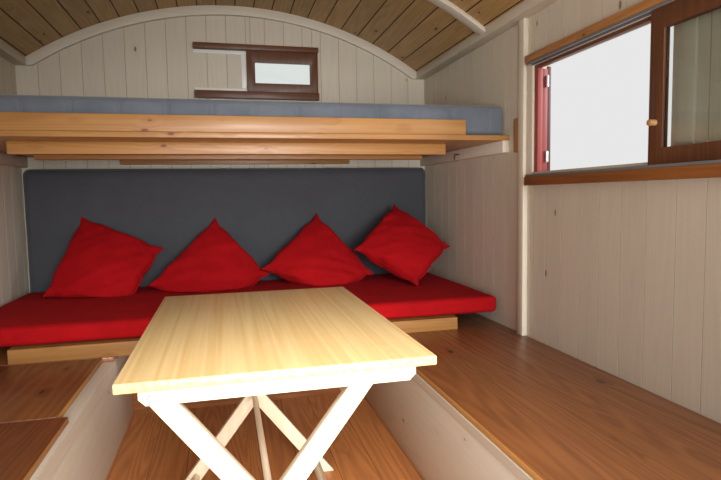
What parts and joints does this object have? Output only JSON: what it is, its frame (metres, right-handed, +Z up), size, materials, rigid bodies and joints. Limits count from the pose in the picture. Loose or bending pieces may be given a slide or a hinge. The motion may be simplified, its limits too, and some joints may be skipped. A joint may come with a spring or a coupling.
{
  "type": "shepherds hut sleeping bay",
  "caption": "End bay of a barrel-roofed shepherds hut with a bunk over a wrap-around bench, lidded chests, sliding windows and a folding table.",
  "frame": {"origin": "middle of the outline on the ground, under the floor bearers", "axes": "+X to the right across the hut, +Y from the open end to the end wall, +Z up"},
  "size_m": [2.27, 2.61, 2.0173],
  "materials": {
    "glazed_spruce": "white-glazed spruce boards, satin",
    "ceiling_spruce": "white-glazed spruce boards, yellowed, satin",
    "floor_board": "oiled brown floor boards",
    "bearer_wood": "rough sawn",
    "roof_sheet": "plain sheet, satin",
    "larch": "oiled larch",
    "bunk_pine": "clear oiled pine",
    "table_pine": "clear lacquered pine",
    "red_paint": "red painted boards",
    "hinge_steel": "zinc plated",
    "grey_track": "grey plastic track, satin",
    "black_steel": "black",
    "window_glass": "clear",
    "mattress_fabric": "grey-blue woven",
    "grey_fabric": "dark grey woven",
    "red_fabric": "red woven cotton"
  },
  "bodies": {
    "hut": {"floor_bearers": "bearer_wood", "floor_deck": "floor_board", "left_wall": "glazed_spruce", "right_wall": "glazed_spruce", "end_wall": "glazed_spruce", "roof_boards": "ceiling_spruce", "roof_covering": "roof_sheet", "wall_plates": "glazed_spruce", "roof_ribs": "glazed_spruce", "end_arch": "glazed_spruce", "wall_posts": "glazed_spruce", "side_window_head": "larch", "side_window_sill": "larch", "side_window_tracks": "grey_track", "side_sash": "larch", "side_sash_glass": "window_glass", "side_lining": "glazed_spruce", "side_casing": "red_paint", "side_shutter": "red_paint", "side_shutter_hinges": "hinge_steel", "end_lining": "glazed_spruce", "end_window_head": "larch", "end_window_sill": "larch", "end_sash": "larch", "end_sash_glass": "window_glass", "bunk_deck": "bunk_pine", "bunk_guard": "bunk_pine", "bunk_ledgers": "glazed_spruce", "bunk_beams": "bunk_pine", "bunk_stop": "bunk_pine", "bunk_hook": "black_steel", "bunk_mattress": "mattress_fabric", "right_bench_front": "glazed_spruce", "right_bench_top": "larch", "left_bench_front": "glazed_spruce", "left_bench_top": "larch", "seat_fascia": "bunk_pine", "seat_deck": "bunk_pine", "seat_front_panel": "glazed_spruce", "seat_pad": "red_fabric", "backrest_pad": "grey_fabric", "cushion_1": "red_fabric", "cushion_2": "red_fabric", "cushion_3": "red_fabric", "cushion_4": "red_fabric"},
    "far_lid": {"left_lid_far": "larch", "far_lid_hinges": "hinge_steel"},
    "near_lid": {"left_lid_near": "larch", "near_lid_hinges": "hinge_steel"},
    "outer_frame": {"table_outer_legs": "table_pine", "table_outer_rail": "table_pine", "table_pivot_bar": "table_pine"},
    "inner_frame": {"table_inner_legs": "table_pine", "table_inner_rails": "table_pine"},
    "table_board": {"table_top": "table_pine", "table_battens": "table_pine", "table_bolts": "hinge_steel", "table_bolt_plates": "hinge_steel"}
  },
  "joints": [
    {"name": "far_lid_hinge", "type": "hinge", "parent": "hut", "child": "far_lid", "pos_m": [-0.9787, -0.0205, 0.464], "axis": [0, -1, 0], "range_deg": [0, 85]},
    {"name": "near_lid_hinge", "type": "hinge", "parent": "hut", "child": "near_lid", "pos_m": [-0.9787, -0.799, 0.464], "axis": [0, -1, 0], "range_deg": [0, 85]},
    {"name": "table_lift", "type": "slide", "parent": "hut", "child": "outer_frame", "axis": [0, 0, 1], "range_m": [0, 0.26]},
    {"name": "leg_pivot", "type": "hinge", "parent": "outer_frame", "child": "inner_frame", "pos_m": [-0.02, -0.449, 0.415], "axis": [0, -1, 0], "range_deg": [0, 60]},
    {"name": "board_hinge", "type": "hinge", "parent": "outer_frame", "child": "table_board", "pos_m": [-0.2192, -0.449, 0.6727], "axis": [0, -1, 0], "range_deg": [0, 33]}
  ],
  "couplings": [
    {"joint": "leg_pivot", "follows": "table_lift", "rad_per_m": 4},
    {"joint": "board_hinge", "follows": "table_lift", "rad_per_m": 2.2}
  ]
}
